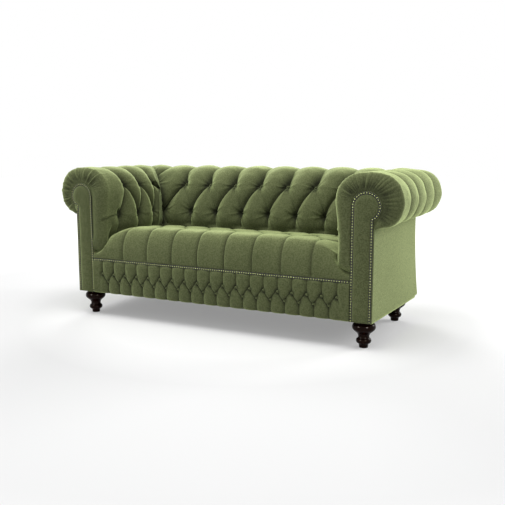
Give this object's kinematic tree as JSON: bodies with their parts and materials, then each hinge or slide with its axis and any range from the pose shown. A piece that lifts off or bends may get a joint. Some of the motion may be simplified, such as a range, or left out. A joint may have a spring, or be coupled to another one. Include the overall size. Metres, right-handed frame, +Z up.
{
  "type": "two-seat chesterfield sofa",
  "caption": "Low two-seat sofa with scroll arms and back of one height, diamond-buttoned padding, pleated fixed seat, nail trim and turned legs.",
  "frame": {"origin": "centre of the footprint, on the floor", "axes": "+X along the seat, to the right as seen from the front; +Z up; the open front faces -Y"},
  "size_m": [1.856, 0.824, 0.784],
  "materials": {
    "velvet": "olive green velvet pile with a pale sheen",
    "nails": "aged bronze nail heads",
    "turned_wood": "near-black stained gloss lacquer",
    "steel": "plain steel",
    "spring_steel": "drawn wire",
    "frame_wood": "sawn beech",
    "hessian": "open woven jute",
    "cambric": "black non-woven cloth"
  },
  "bodies": {
    "root": {"arm_pad_left": "velvet", "arm_pad_right": "velvet", "back_pad": "velvet", "seat_pad": "velvet", "front_border": "velvet", "arm_facing_left": "velvet", "arm_facing_right": "velvet", "outside_arm_left": "velvet", "outside_arm_right": "velvet", "outside_back": "velvet", "nail_strip_left": "nails", "nail_strip_right": "nails", "nail_strip_front": "nails", "leg_front_left": "turned_wood", "leg_front_right": "turned_wood", "leg_rear_left": "turned_wood", "leg_rear_right": "turned_wood", "leg_plate_front_left": "steel", "leg_plate_front_right": "steel", "leg_plate_rear_left": "steel", "leg_plate_rear_right": "steel", "spring_left_1": "spring_steel", "spring_left_2": "spring_steel", "spring_left_3": "spring_steel", "spring_right_1": "spring_steel", "spring_right_2": "spring_steel", "spring_right_3": "spring_steel", "front_rail": "frame_wood", "rear_rail": "frame_wood", "centre_brace": "frame_wood", "back_scroll_rail": "frame_wood", "back_tack_rail": "frame_wood", "side_rail_left": "frame_wood", "side_rail_right": "frame_wood", "front_block_left": "frame_wood", "front_block_right": "frame_wood", "rear_block_left": "frame_wood", "rear_block_right": "frame_wood", "front_board_left": "frame_wood", "front_board_right": "frame_wood", "arm_scroll_rail_left": "frame_wood", "arm_scroll_rail_right": "frame_wood", "arm_post_left": "frame_wood", "arm_post_right": "frame_wood", "arm_tack_rail_left": "frame_wood", "arm_tack_rail_right": "frame_wood", "rear_post_left": "frame_wood", "rear_post_right": "frame_wood", "back_upright_left": "frame_wood", "back_upright_right": "frame_wood", "arm_lining_left": "hessian", "arm_lining_right": "hessian", "back_lining": "hessian", "spring_cover": "hessian", "dust_cover": "cambric"}
  },
  "joints": []
}
